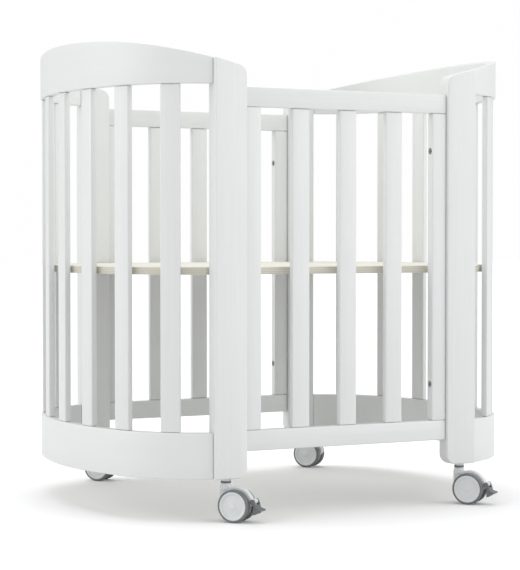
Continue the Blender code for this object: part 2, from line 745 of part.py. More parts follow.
for hand, side in (("left", -1), ("right", 1)):
    make_end(hand, side)
    for where, facing in (("front", -1), ("back", 1)):
        make_post(f"{where}_{hand}_post", side, facing)
        make_castor(f"{where}_{hand}_castor", side, facing, braked=facing < 0)
        make_bolts(f"{where}_{hand}", side, facing)
make_panel("front", -1)
make_panel("back", 1)
make_board()
centre_over_origin()
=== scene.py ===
import json
import math

import bmesh
import bpy
from mathutils import Matrix, Vector


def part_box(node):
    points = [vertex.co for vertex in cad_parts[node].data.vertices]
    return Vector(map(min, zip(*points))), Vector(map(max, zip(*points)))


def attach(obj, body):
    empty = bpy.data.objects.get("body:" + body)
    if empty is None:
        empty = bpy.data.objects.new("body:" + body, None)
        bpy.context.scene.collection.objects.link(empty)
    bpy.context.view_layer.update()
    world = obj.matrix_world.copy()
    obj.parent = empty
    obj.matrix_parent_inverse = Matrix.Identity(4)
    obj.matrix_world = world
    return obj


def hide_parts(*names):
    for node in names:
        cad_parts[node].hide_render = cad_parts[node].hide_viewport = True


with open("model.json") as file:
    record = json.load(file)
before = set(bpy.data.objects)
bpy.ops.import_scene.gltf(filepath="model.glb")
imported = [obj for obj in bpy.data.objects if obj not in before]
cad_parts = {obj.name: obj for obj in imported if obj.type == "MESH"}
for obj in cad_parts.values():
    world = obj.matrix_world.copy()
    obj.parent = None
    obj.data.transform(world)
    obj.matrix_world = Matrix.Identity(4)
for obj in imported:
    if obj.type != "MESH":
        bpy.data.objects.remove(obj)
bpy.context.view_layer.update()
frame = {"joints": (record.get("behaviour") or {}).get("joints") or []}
print("frame loaded")

hands = {"left": -1, "right": 1}
sides = {"front": -1, "back": 1}
castorNames = [f"{side}_{hand}" for side in sides for hand in hands]


# where the crib's own lines run, read off the frame

boardLow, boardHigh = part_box("bed_board")
postLow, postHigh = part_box("front_right_post")
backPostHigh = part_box("back_right_post")[1]
bandLow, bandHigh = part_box("right_end_bottom_band")
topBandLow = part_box("right_end_top_band")[0]

crib = {
    "middleY": (postLow.y + backPostHigh.y) / 2,
    "postEdge": postHigh.x,
    "postWidth": postHigh.x - postLow.x,
    "postThick": postHigh.y - postLow.y,
    "postFace": (backPostHigh.y - postLow.y) / 2,
    "base": postLow.z,
    "top": postHigh.z,
    "slope": 0.25,  # rise of the top line per length outwards
    "fitGap": 0.0003,
}

endCurve = {
    "apex": bandHigh.x,
    "bulge": bandHigh.x - postHigh.x,
    "inset": 0.009,  # the band's outer face meets the post this far behind its outer face
    "thick": 0.018,
    "middleAngle": math.radians(20.3),
    "postAngle": math.radians(70.8),
    "steps": 160,
}


def solveEndCurve():
    # two radii that give the end its width and its bulge
    halfWidth = crib["postFace"] - endCurve["inset"]
    s1, c1 = math.sin(endCurve["middleAngle"]), math.cos(endCurve["middleAngle"])
    s2, c2 = math.sin(endCurve["postAngle"]), math.cos(endCurve["postAngle"])
    det = s1 * (c1 - c2) - (s2 - s1) * (1 - c1)
    middle = (halfWidth * (c1 - c2) - endCurve["bulge"] * (s2 - s1)) / det
    shoulder = (endCurve["bulge"] * s1 - halfWidth * (1 - c1)) / det
    endCurve["middleRadius"] = middle
    endCurve["shoulderRadius"] = shoulder
    endCurve["shoulderX"] = endCurve["apex"] - middle + (middle - shoulder) * c1
    endCurve["shoulderY"] = (middle - shoulder) * s1


solveEndCurve()


def endPoint(angle, inset):
    # x and y on the end's curve, by the normal's angle there
    if abs(angle) <= endCurve["middleAngle"]:
        cx, cy, radius = endCurve["apex"] - endCurve["middleRadius"], 0.0, endCurve["middleRadius"]
    else:
        cx, cy = endCurve["shoulderX"], math.copysign(endCurve["shoulderY"], angle)
        radius = endCurve["shoulderRadius"]
    return cx + (radius - inset) * math.cos(angle), cy + (radius - inset) * math.sin(angle)


# materials

def newMaterial(name):
    mat = bpy.data.materials.new(name)
    mat.use_nodes = True
    nodes = mat.node_tree.nodes
    return mat, mat.node_tree, nodes["Principled BSDF"]


def addNode(tree, kind, **values):
    node = tree.nodes.new(kind)
    for key, value in values.items():
        setattr(node, key, value)
    return node


def objectSpace(tree, scale, turn=(0.0, 0.0, 0.0)):
    coords = addNode(tree, "ShaderNodeTexCoord")
    mapping = addNode(tree, "ShaderNodeMapping")
    mapping.inputs["Scale"].default_value = scale
    mapping.inputs["Rotation"].default_value = turn
    tree.links.new(coords.outputs["Object"], mapping.inputs["Vector"])
    return mapping.outputs["Vector"]


def noise(tree, vector, scale, detail=3.0, roughness=0.5, distortion=0.0):
    node = addNode(tree, "ShaderNodeTexNoise")
    node.inputs["Scale"].default_value = scale
    node.inputs["Detail"].default_value = detail
    node.inputs["Roughness"].default_value = roughness
    node.inputs["Distortion"].default_value = distortion
    tree.links.new(vector, node.inputs["Vector"])
    return node.outputs["Fac"]


def spread(tree, value, low, high, fromLow=0.3, fromHigh=0.7):
    node = addNode(tree, "ShaderNodeMapRange")
    node.inputs["From Min"].default_value = fromLow
    node.inputs["From Max"].default_value = fromHigh
    node.inputs["To Min"].default_value = low
    node.inputs["To Max"].default_value = high
    tree.links.new(value, node.inputs["Value"])
    return node.outputs["Result"]


def blendColours(tree, factor, first, second):
    node = addNode(tree, "ShaderNodeMix", data_type="RGBA")
    for socket, value in ((node.inputs[6], first), (node.inputs[7], second)):
        if isinstance(value, tuple):
            socket.default_value = (*value, 1.0)
        else:
            tree.links.new(value, socket)
    tree.links.new(factor, node.inputs[0])
    return node.outputs[2]


def bump(tree, shader, height, strength, distance):
    node = addNode(tree, "ShaderNodeBump")
    node.inputs["Strength"].default_value = strength
    node.inputs["Distance"].default_value = distance
    tree.links.new(height, node.inputs["Height"])
    tree.links.new(node.outputs["Normal"], shader.inputs["Normal"])


lacquerLook = {
    "clean": (0.770, 0.786, 0.782),
    "soft": (0.732, 0.748, 0.744),
    "roughLow": 0.34,
    "roughHigh": 0.46,
    "grainStrength": 0.10,
    "grainDepth": 0.0006,
    "coat": 0.12,
    "coatRoughness": 0.28,
}


def makeLacquer(name, grain, streakiness=1.0):
    # white paint that lets a little of the wood's grain through; grain is the stretch along each axis
    mat, tree, shader = newMaterial(name)
    fine = noise(tree, objectSpace(tree, grain), 1.0, 5.0, 0.6, 0.4)
    broad = noise(tree, objectSpace(tree, (1.0, 1.0, 1.0)), 7.0, 2.0)
    streaks = addNode(tree, "ShaderNodeMath", operation="MULTIPLY")
    tree.links.new(spread(tree, fine, 0.0, streakiness), streaks.inputs[0])
    tree.links.new(spread(tree, broad, 0.4, 1.0), streaks.inputs[1])
    colour = blendColours(tree, streaks.outputs[0], lacquerLook["clean"], lacquerLook["soft"])
    tree.links.new(colour, shader.inputs["Base Color"])
    rough = spread(tree, fine, lacquerLook["roughLow"], lacquerLook["roughHigh"])
    tree.links.new(rough, shader.inputs["Roughness"])
    shader.inputs["Coat Weight"].default_value = lacquerLook["coat"]
    shader.inputs["Coat Roughness"].default_value = lacquerLook["coatRoughness"]
    bump(tree, shader, fine, lacquerLook["grainStrength"], lacquerLook["grainDepth"])
    return mat


boardLook = {
    "face": (0.82, 0.80, 0.72),
    "faceFigure": (0.78, 0.75, 0.66),
    "palePly": (0.66, 0.64, 0.56),
    "darkPly": (0.54, 0.51, 0.43),
    "plies": 9,
}


def makePlywood(name):
    # cream face with a faint figure along X, and plies that show only on the edge
    mat, tree, shader = newMaterial(name)
    figure = noise(tree, objectSpace(tree, (3.0, 60.0, 60.0)), 1.0, 6.0, 0.65, 1.2)
    face = blendColours(tree, spread(tree, figure, 0.0, 1.0), boardLook["face"], boardLook["faceFigure"])
    coords = addNode(tree, "ShaderNodeTexCoord")
    split = addNode(tree, "ShaderNodeSeparateXYZ")
    tree.links.new(coords.outputs["Object"], split.inputs[0])
    layer = addNode(tree, "ShaderNodeMath", operation="MULTIPLY")
    layer.inputs[1].default_value = boardLook["plies"] * math.pi / (boardHigh.z - boardLow.z)
    tree.links.new(split.outputs["Z"], layer.inputs[0])
    wave = addNode(tree, "ShaderNodeMath", operation="SINE")
    tree.links.new(layer.outputs[0], wave.inputs[0])
    plies = blendColours(tree, spread(tree, wave.outputs[0], 0.0, 1.0, -0.4, 0.4),
                         boardLook["palePly"], boardLook["darkPly"])
    geometry = addNode(tree, "ShaderNodeNewGeometry")
    normal = addNode(tree, "ShaderNodeSeparateXYZ")
    tree.links.new(geometry.outputs["Normal"], normal.inputs[0])
    upright = addNode(tree, "ShaderNodeMath", operation="ABSOLUTE")
    tree.links.new(normal.outputs["Z"], upright.inputs[0])
    colour = blendColours(tree, spread(tree, upright.outputs[0], 0.0, 1.0, 0.3, 0.6), plies, face)
    tree.links.new(colour, shader.inputs["Base Color"])
    tree.links.new(spread(tree, figure, 0.42, 0.60), shader.inputs["Roughness"])
    bump(tree, shader, figure, 0.15, 0.0005)
    return mat


def makePlastic(name, pale, dark, roughness, grainScale=900.0):
    # moulded plastic with a fine spark texture
    mat, tree, shader = newMaterial(name)
    grain = noise(tree, objectSpace(tree, (1.0, 1.0, 1.0)), grainScale, 2.0)
    broad = noise(tree, objectSpace(tree, (1.0, 1.0, 1.0)), 60.0, 2.0)
    colour = blendColours(tree, spread(tree, broad, 0.0, 1.0), pale, dark)
    tree.links.new(colour, shader.inputs["Base Color"])
    tree.links.new(spread(tree, grain, roughness - 0.06, roughness + 0.08), shader.inputs["Roughness"])
    bump(tree, shader, grain, 0.12, 0.0002)
    return mat


def makeMetal(name, pale, dark, roughness, stretch):
    mat, tree, shader = newMaterial(name)
    shader.inputs["Metallic"].default_value = 1.0
    brushed = noise(tree, objectSpace(tree, stretch), 1.0, 4.0, 0.6)
    colour = blendColours(tree, spread(tree, brushed, 0.0, 1.0), pale, dark)
    tree.links.new(colour, shader.inputs["Base Color"])
    tree.links.new(spread(tree, brushed, roughness - 0.07, roughness + 0.10), shader.inputs["Roughness"])
    bump(tree, shader, brushed, 0.10, 0.0001)
    return mat


uprightLacquer = makeLacquer("lacquerUpright", (190.0, 190.0, 5.0))
alongLacquer = makeLacquer("lacquerAlong", (5.0, 190.0, 190.0))
bandLacquer = makeLacquer("lacquerBand", (7.0, 7.0, 190.0), 0.35)
plywood = makePlywood("creamPlywood")
palePlastic = makePlastic("palePlastic", (0.74, 0.76, 0.76), (0.70, 0.72, 0.72), 0.36)
tyreRubber = makePlastic("tyreRubber", (0.190, 0.200, 0.205), (0.150, 0.160, 0.165), 0.55, 700.0)
leverPlastic = makePlastic("leverPlastic", (0.150, 0.165, 0.165), (0.125, 0.138, 0.138), 0.42)
boltSteel = makeMetal("boltSteel", (0.42, 0.43, 0.44), (0.32, 0.33, 0.335), 0.44, (300.0, 900.0, 900.0))
zincSteel = makeMetal("zincSteel", (0.62, 0.63, 0.64), (0.50, 0.51, 0.53), 0.30, (900.0, 900.0, 200.0))
print("materials made")


# geometry node trees

def newTree(name, inputs):
    tree = bpy.data.node_groups.new(name, "GeometryNodeTree")
    kinds = {float: "NodeSocketFloat", int: "NodeSocketInt", "material": "NodeSocketMaterial",
             "object": "NodeSocketObject", "geometry": "NodeSocketGeometry"}
    for label, kind in inputs.items():
        tree.interface.new_socket(label, in_out="INPUT", socket_type=kinds[kind])
    tree.interface.new_socket("Geometry", in_out="OUTPUT", socket_type="NodeSocketGeometry")
    return tree, tree.nodes.new("NodeGroupInput").outputs, tree.nodes.new("NodeGroupOutput").inputs


def calc(tree, operation, first, second=None):
    node = addNode(tree, "ShaderNodeMath", operation=operation)
    for socket, value in zip(node.inputs, (first, second)):
        if value is None:
            continue
        if isinstance(value, (int, float)):
            socket.default_value = value
        else:
            tree.links.new(value, socket)
    return node.outputs[0]


def pick(tree, test, whenFalse, whenTrue):
    node = addNode(tree, "GeometryNodeSwitch", input_type="FLOAT")
    tree.links.new(test, node.inputs["Switch"])
    for socket, value in ((node.inputs["False"], whenFalse), (node.inputs["True"], whenTrue)):
        if isinstance(value, (int, float)):
            socket.default_value = value
        else:
            tree.links.new(value, socket)
    return node.outputs[0]


def onEndCurve(tree, given, angle, inset):
    # x and y on the three arcs of the curved end
    size = calc(tree, "ABSOLUTE", angle)
    past = calc(tree, "GREATER_THAN", size, given["Middle Angle"])
    radius = pick(tree, past, given["Middle Radius"], given["Shoulder Radius"])
    middleX = calc(tree, "SUBTRACT", given["Apex"], given["Middle Radius"])
    centreX = pick(tree, past, middleX, given["Shoulder X"])
    shoulderY = calc(tree, "MULTIPLY", given["Shoulder Y"], calc(tree, "SIGN", angle))
    centreY = pick(tree, past, 0.0, shoulderY)
    reach = calc(tree, "SUBTRACT", radius, inset)
    x = calc(tree, "ADD", centreX, calc(tree, "MULTIPLY", reach, calc(tree, "COSINE", angle)))
    y = calc(tree, "ADD", centreY, calc(tree, "MULTIPLY", reach, calc(tree, "SINE", angle)))
    return x, y


curveInputs = {
    "Apex": float, "Middle Angle": float, "Middle Radius": float, "Shoulder Radius": float,
    "Shoulder X": float, "Shoulder Y": float,
}


def curveValues():
    return {
        "Apex": endCurve["apex"], "Middle Angle": endCurve["middleAngle"],
        "Middle Radius": endCurve["middleRadius"], "Shoulder Radius": endCurve["shoulderRadius"],
        "Shoulder X": endCurve["shoulderX"], "Shoulder Y": endCurve["shoulderY"],
    }


def finishTree(tree, outputs, geometry, material):
    real = addNode(tree, "GeometryNodeRealizeInstances")
    tree.links.new(geometry, real.inputs[0])
    paint = addNode(tree, "GeometryNodeSetMaterial")
    tree.links.new(real.outputs[0], paint.inputs["Geometry"])
    tree.links.new(material, paint.inputs["Material"])
    tree.links.new(paint.outputs[0], outputs["Geometry"])


def makeBandTree():
    # a subdivided block bent onto the end's curve, with its top on the sloping line
    tree, given, outputs = newTree("bentBand", {
        **curveInputs, "Post Edge": float, "Thickness": float, "Bottom": float, "Top": float,
        "Slope": float, "Side": float, "Middle Y": float, "Steps": int, "Rows": int, "Material": "material",
    })
    block = addNode(tree, "GeometryNodeMeshCube")
    block.inputs["Size"].default_value = (1.0, 1.0, 1.0)
    tree.links.new(given["Steps"], block.inputs["Vertices X"])
    block.inputs["Vertices Y"].default_value = 2
    tree.links.new(given["Rows"], block.inputs["Vertices Z"])
    split = addNode(tree, "ShaderNodeSeparateXYZ")
    tree.links.new(addNode(tree, "GeometryNodeInputPosition").outputs[0], split.inputs[0])
    along, across, up = split.outputs
    inset = calc(tree, "MULTIPLY", calc(tree, "ADD", across, 0.5), given["Thickness"])
    toPost = calc(tree, "SUBTRACT", given["Post Edge"], given["Shoulder X"])
    limit = calc(tree, "ARCCOSINE",
                 calc(tree, "DIVIDE", toPost, calc(tree, "SUBTRACT", given["Shoulder Radius"], inset)))
    angle = calc(tree, "MULTIPLY", calc(tree, "MULTIPLY", along, 2.0), limit)
    x, y = onEndCurve(tree, given, angle, inset)
    rise = calc(tree, "MULTIPLY", calc(tree, "SUBTRACT", x, given["Post Edge"]), given["Slope"])
    top = calc(tree, "ADD", given["Top"], rise)
    height = calc(tree, "SUBTRACT", top, given["Bottom"])
    z = calc(tree, "ADD", given["Bottom"], calc(tree, "MULTIPLY", height, calc(tree, "ADD", up, 0.5)))
    join = addNode(tree, "ShaderNodeCombineXYZ")
    tree.links.new(calc(tree, "MULTIPLY", x, given["Side"]), join.inputs[0])
    tree.links.new(calc(tree, "ADD", y, given["Middle Y"]), join.inputs[1])
    tree.links.new(z, join.inputs[2])
    place = addNode(tree, "GeometryNodeSetPosition")
    tree.links.new(block.outputs["Mesh"], place.inputs["Geometry"])
    tree.links.new(join.outputs[0], place.inputs["Position"])
    finishTree(tree, outputs, place.outputs[0], given["Material"])
    return tree


def slatBlock(tree, given):
    # one upright board about its own middle
    size = addNode(tree, "ShaderNodeCombineXYZ")
    tree.links.new(given["Width"], size.inputs[0])
    tree.links.new(given["Thickness"], size.inputs[1])
    tree.links.new(calc(tree, "SUBTRACT", given["Top"], given["Bottom"]), size.inputs[2])
    block = addNode(tree, "GeometryNodeMeshCube")
    tree.links.new(size.outputs[0], block.inputs["Size"])
    return block.outputs["Mesh"]


def middleHeight(tree, given):
    return calc(tree, "MULTIPLY", calc(tree, "ADD", given["Top"], given["Bottom"]), 0.5)


def makeEndSlatTree():
    # boards at even distances along the band's outer face, each square to the curve
    tree, given, outputs = newTree("endSlats", {
        **curveInputs, "Count": int, "Pitch": float, "Inset": float, "Width": float, "Thickness": float,
        "Bottom": float, "Top": float, "Side": float, "Middle Y": float, "Material": "material",
    })
    points = addNode(tree, "GeometryNodePoints")
    tree.links.new(given["Count"], points.inputs["Count"])
    index = addNode(tree, "GeometryNodeInputIndex").outputs[0]
    middle = calc(tree, "DIVIDE", calc(tree, "SUBTRACT", given["Count"], 1.0), 2.0)
    distance = calc(tree, "MULTIPLY", calc(tree, "SUBTRACT", index, middle), given["Pitch"])
    middleLength = calc(tree, "MULTIPLY", given["Middle Radius"], given["Middle Angle"])
    past = calc(tree, "DIVIDE", calc(tree, "SUBTRACT", calc(tree, "ABSOLUTE", distance), middleLength),
                given["Shoulder Radius"])
    shoulderAngle = calc(tree, "MULTIPLY", calc(tree, "ADD", given["Middle Angle"], past),
                         calc(tree, "SIGN", distance))
    angle = pick(tree, calc(tree, "GREATER_THAN", past, 0.0),
                 calc(tree, "DIVIDE", distance, given["Middle Radius"]), shoulderAngle)
    x, y = onEndCurve(tree, given, angle, given["Inset"])
    join = addNode(tree, "ShaderNodeCombineXYZ")
    tree.links.new(calc(tree, "MULTIPLY", x, given["Side"]), join.inputs[0])
    tree.links.new(calc(tree, "ADD", y, given["Middle Y"]), join.inputs[1])
    tree.links.new(middleHeight(tree, given), join.inputs[2])
    place = addNode(tree, "GeometryNodeSetPosition")
    tree.links.new(points.outputs[0], place.inputs["Geometry"])
    tree.links.new(join.outputs[0], place.inputs["Position"])
    turn = addNode(tree, "ShaderNodeCombineXYZ")
    quarter = calc(tree, "ADD", calc(tree, "MULTIPLY", angle, given["Side"]), math.pi / 2)
    tree.links.new(quarter, turn.inputs[2])
    stand = addNode(tree, "GeometryNodeInstanceOnPoints")
    tree.links.new(place.outputs[0], stand.inputs["Points"])
    tree.links.new(slatBlock(tree, given), stand.inputs["Instance"])
    tree.links.new(turn.outputs[0], stand.inputs["Rotation"])
    finishTree(tree, outputs, stand.outputs[0], given["Material"])
    return tree


def makeRowTree():
    # a straight row of upright boards along X
    tree, given, outputs = newTree("boardRow", {
        "Count": int, "Pitch": float, "Middle X": float, "Y": float, "Width": float, "Thickness": float,
        "Bottom": float, "Top": float, "Material": "material",
    })
    points = addNode(tree, "GeometryNodePoints")
    tree.links.new(given["Count"], points.inputs["Count"])
    index = addNode(tree, "GeometryNodeInputIndex").outputs[0]
    middle = calc(tree, "DIVIDE", calc(tree, "SUBTRACT", given["Count"], 1.0), 2.0)
    distance = calc(tree, "MULTIPLY", calc(tree, "SUBTRACT", index, middle), given["Pitch"])
    join = addNode(tree, "ShaderNodeCombineXYZ")
    tree.links.new(calc(tree, "ADD", distance, given["Middle X"]), join.inputs[0])
    tree.links.new(given["Y"], join.inputs[1])
    tree.links.new(middleHeight(tree, given), join.inputs[2])
    place = addNode(tree, "GeometryNodeSetPosition")
    tree.links.new(points.outputs[0], place.inputs["Geometry"])
    tree.links.new(join.outputs[0], place.inputs["Position"])
    stand = addNode(tree, "GeometryNodeInstanceOnPoints")
    tree.links.new(place.outputs[0], stand.inputs["Points"])
    tree.links.new(slatBlock(tree, given), stand.inputs["Instance"])
    finishTree(tree, outputs, stand.outputs[0], given["Material"])
    return tree


def makeScatterTree():
    # one shape on every point of the given mesh, with its Z along the point's own direction
    tree, given, outputs = newTree("fastenersOnPoints", {
        "Geometry": "geometry", "Shape": "object", "Material": "material",
    })
    shape = addNode(tree, "GeometryNodeObjectInfo")
    tree.links.new(given["Shape"], shape.inputs["Object"])
    facing = addNode(tree, "GeometryNodeInputNamedAttribute", data_type="FLOAT_VECTOR")
    facing.inputs["Name"].default_value = "facing"
    align = addNode(tree, "FunctionNodeAlignRotationToVector", axis="Z")
    tree.links.new(facing.outputs["Attribute"], align.inputs["Vector"])
    stand = addNode(tree, "GeometryNodeInstanceOnPoints")
    tree.links.new(given["Geometry"], stand.inputs["Points"])
    tree.links.new(shape.outputs["Geometry"], stand.inputs["Instance"])
    tree.links.new(align.outputs[0], stand.inputs["Rotation"])
    finishTree(tree, outputs, stand.outputs[0], given["Material"])
    return tree


def plainMesh(name, source):
    # the evaluated object as a plain mesh of its own
    graph = bpy.context.evaluated_depsgraph_get()
    mesh = bpy.data.meshes.new_from_object(source.evaluated_get(graph))
    bpy.data.objects.remove(source)
    piece = bpy.data.objects.new(name, mesh)
    bpy.context.scene.collection.objects.link(piece)
    return piece


def smoothShade(mesh, degrees=35.0):
    mesh.shade_smooth()
    mesh.set_sharp_from_angle(angle=math.radians(degrees))


def addBevel(piece, width, segments, degrees=35.0):
    modifier = piece.modifiers.new("roundedEdges", "BEVEL")
    modifier.width = width
    modifier.segments = segments
    modifier.limit_method = "ANGLE"
    modifier.angle_limit = math.radians(degrees)


def runTree(name, tree, values, bevel=None, mesh=None):
    # a modifier's inputs are set by identifier before anything is evaluated
    source = bpy.data.objects.new(name + "Source", mesh or bpy.data.meshes.new(name + "Source"))
    bpy.context.scene.collection.objects.link(source)
    modifier = source.modifiers.new("tree", "NODES")
    modifier.node_group = tree
    for item in tree.interface.items_tree:
        if item.in_out == "INPUT" and item.name in values:
            modifier[item.identifier] = values[item.name]
    if bevel:
        addBevel(source, *bevel)
    piece = plainMesh(name, source)
    smoothShade(piece.data)
    return piece


bandTree = makeBandTree()
endSlatTree = makeEndSlatTree()
rowTree = makeRowTree()
scatterTree = makeScatterTree()
print("node trees made")


# shapes in mesh code

def linkMesh(name, mesh, material):
    piece = bpy.data.objects.new(name, mesh)
    bpy.context.scene.collection.objects.link(piece)
    mesh.materials.clear()
    mesh.materials.append(material)
    return piece


def arc(centre, radius, start, end, steps):
    # points on an arc, angles in degrees
    turns = [math.radians(start + (end - start) * i / steps) for i in range(steps + 1)]
    return [(centre[0] + radius * math.cos(t), centre[1] + radius * math.sin(t)) for t in turns]


def outlineSolid(points, thick):
    # a closed outline in x and y, given its thickness evenly about z = 0
    shape = bmesh.new()
    ring = [shape.verts.new((x, y, -thick / 2)) for x, y in points]
    face = shape.faces.new(ring)
    lifted = bmesh.ops.extrude_face_region(shape, geom=[face])["geom"]
    moved = [v for v in lifted if isinstance(v, bmesh.types.BMVert)]
    bmesh.ops.translate(shape, verts=moved, vec=(0.0, 0.0, thick))
    bmesh.ops.recalc_face_normals(shape, faces=shape.faces)
    return shape


def turnedSolid(profile, steps):
    # (radius, height) points turned about Z
    shape = bmesh.new()
    points = [shape.verts.new((r, 0.0, z)) for r, z in profile]
    edges = [shape.edges.new(pair) for pair in zip(points, points[1:])]
    bmesh.ops.spin(shape, geom=points + edges, cent=(0, 0, 0), axis=(0, 0, 1),
                   angle=2 * math.pi, steps=steps, use_merge=True)
    bmesh.ops.remove_doubles(shape, verts=shape.verts, dist=1e-6)
    bmesh.ops.recalc_face_normals(shape, faces=shape.faces)
    return shape


def roundedProfile(points, radius, steps=4):
    # each inner corner of an open profile replaced by a short curve
    made = [points[0]]
    for before, corner, after in zip(points, points[1:], points[2:]):
        a, b, c = Vector(before), Vector(corner), Vector(after)
        reach = min(radius, (a - b).length * 0.45, (c - b).length * 0.45)
        start = b + (a - b).normalized() * reach
        end = b + (c - b).normalized() * reach
        for i in range(steps + 1):
            t = i / steps
            made.append(tuple(start * (1 - t) ** 2 + b * 2 * t * (1 - t) + end * t * t))
    return made + [points[-1]]


def toMesh(shape, name, matrix=None):
    mesh = bpy.data.meshes.new(name)
    shape.to_mesh(mesh)
    shape.free()
    if matrix:
        mesh.transform(matrix)
    return mesh


def settle(piece, body, slotName, *nodes):
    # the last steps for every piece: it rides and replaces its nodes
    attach(piece, body)
    if nodes:
        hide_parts(*nodes)


# posts

post = {"cornerRadius": 0.020, "cornerSteps": 18, "edge": 0.0022, "edgeSegments": 4}


def topAt(x):
    return crib["top"] + crib["slope"] * (x - crib["postEdge"])


def postOutline():
    outer = crib["postEdge"]
    inner = outer - crib["postWidth"]
    r = post["cornerRadius"]
    tilt = math.atan(crib["slope"])
    cornerZ = topAt(inner + r) - r / math.cos(tilt)
    points = [(outer, crib["base"]), (outer, topAt(outer))]
    points += arc((inner + r, cornerZ), r, 90 + math.degrees(tilt), 180, post["cornerSteps"])
    points += arc((inner + r, crib["base"] + r), r, 180, 270, post["cornerSteps"])
    return points


def makePost(sideName, handName):
    name = f"{sideName}_{handName}_post"
    low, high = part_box(name)
    solid = outlineSolid([(hands[handName] * x, z) for x, z in postOutline()], crib["postThick"])
    stand = Matrix.Translation((0.0, (low.y + high.y) / 2, 0.0)) @ Matrix.Rotation(math.pi / 2, 4, "X")
    mesh = toMesh(solid, name, stand)
    source = bpy.data.objects.new(name + "Source", mesh)
    bpy.context.scene.collection.objects.link(source)
    addBevel(source, post["edge"], post["edgeSegments"], 30.0)
    piece = plainMesh(name + "_painted", source)
    smoothShade(piece.data)
    piece.data.materials.clear()
    piece.data.materials.append(uprightLacquer)
    settle(piece, "frame", "white_lacquer", name)


for sideName in sides:
    for handName in hands:
        makePost(sideName, handName)
print("posts made")


# curved ends

band = {"rows": 4, "edge": 0.0022, "edgeSegments": 4}
endSlat = {"count": 7, "margin": 0.081, "width": 0.036, "thick": 0.012, "edge": 0.0022, "edgeSegments": 3}


def makeBands(handName):
    levels = {"bottom": (bandLow.z, bandHigh.z, 0.0), "top": (topBandLow.z, crib["top"], crib["slope"])}
    for level, (low, high, slope) in levels.items():
        name = f"{handName}_end_{level}_band"
        piece = runTree(name + "_painted", bandTree, {
            **curveValues(), "Post Edge": crib["postEdge"] + crib["fitGap"], "Thickness": endCurve["thick"],
            "Bottom": low, "Top": high, "Slope": slope, "Side": float(hands[handName]),
            "Middle Y": crib["middleY"], "Steps": endCurve["steps"], "Rows": band["rows"],
            "Material": bandLacquer,
        }, (band["edge"], band["edgeSegments"]))
        shape = bmesh.new()
        shape.from_mesh(piece.data)
        bmesh.ops.recalc_face_normals(shape, faces=shape.faces)
        shape.to_mesh(piece.data)
        shape.free()
        settle(piece, "frame", "white_lacquer", name)


def makeEndSlats(handName):
    middleLength = endCurve["middleRadius"] * endCurve["middleAngle"]
    shoulderLength = endCurve["shoulderRadius"] * (endCurve["postAngle"] - endCurve["middleAngle"])
    span = 2 * (middleLength + shoulderLength - endSlat["margin"])
    piece = runTree(f"{handName}_end_slats", endSlatTree, {
        **curveValues(), "Count": endSlat["count"], "Pitch": span / (endSlat["count"] - 1),
        "Inset": endCurve["thick"] / 2, "Width": endSlat["width"], "Thickness": endSlat["thick"],
        "Bottom": bandHigh.z + crib["fitGap"], "Top": topBandLow.z - crib["fitGap"],
        "Side": float(hands[handName]), "Middle Y": crib["middleY"], "Material": uprightLacquer,
    }, (endSlat["edge"], endSlat["edgeSegments"]))
    nodes = [f"{handName}_end_slat_{i + 1}" for i in range(endSlat["count"])]
    settle(piece, "frame", "white_lacquer", *nodes)


for handName in hands:
    makeBands(handName)
    makeEndSlats(handName)
print("curved ends made")


# straight sides

panel = {
    "slats": 3, "pitch": 0.100, "slatWidth": 0.036, "slatThick": 0.012, "edge": 0.0022, "edgeSegments": 3,
}


def middleOf(node):
    low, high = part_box(node)
    return (low + high) / 2


def makeRow(name, count, pitch, x, y, width, thick, bottom, top, material):
    return runTree(name, rowTree, {
        "Count": count, "Pitch": pitch, "Middle X": x, "Y": y, "Width": width, "Thickness": thick,
        "Bottom": bottom, "Top": top, "Material": material,
    }, (panel["edge"], panel["edgeSegments"]))


def makePanel(sideName):
    bottomLow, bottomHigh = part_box(f"{sideName}_bottom_rail")
    topLow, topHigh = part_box(f"{sideName}_top_rail")
    y = (topLow.y + topHigh.y) / 2
    thick = topHigh.y - topLow.y
    low, high = bottomHigh.z + crib["fitGap"], topLow.z - crib["fitGap"]
    slats = makeRow(f"{sideName}_slats", panel["slats"], panel["pitch"], 0.0, y,
                    panel["slatWidth"], panel["slatThick"], low, high, uprightLacquer)
    settle(slats, "frame", "white_lacquer", *[f"{sideName}_slat_{i + 1}" for i in range(panel["slats"])])
    for level, (railLow, railHigh) in {"bottom": (bottomLow, bottomHigh), "top": (topLow, topHigh)}.items():
        name = f"{sideName}_{level}_rail"
        rail = makeRow(name + "_painted", 1, 0.0, 0.0, y, railHigh.x - railLow.x, thick,
                       railLow.z, railHigh.z, alongLacquer)
        settle(rail, "frame", "white_lacquer", name)
    return low, high, y, thick


stile = {"boreRadius": 0.0065, "boreDepth": 0.006, "boreSteps": 40}


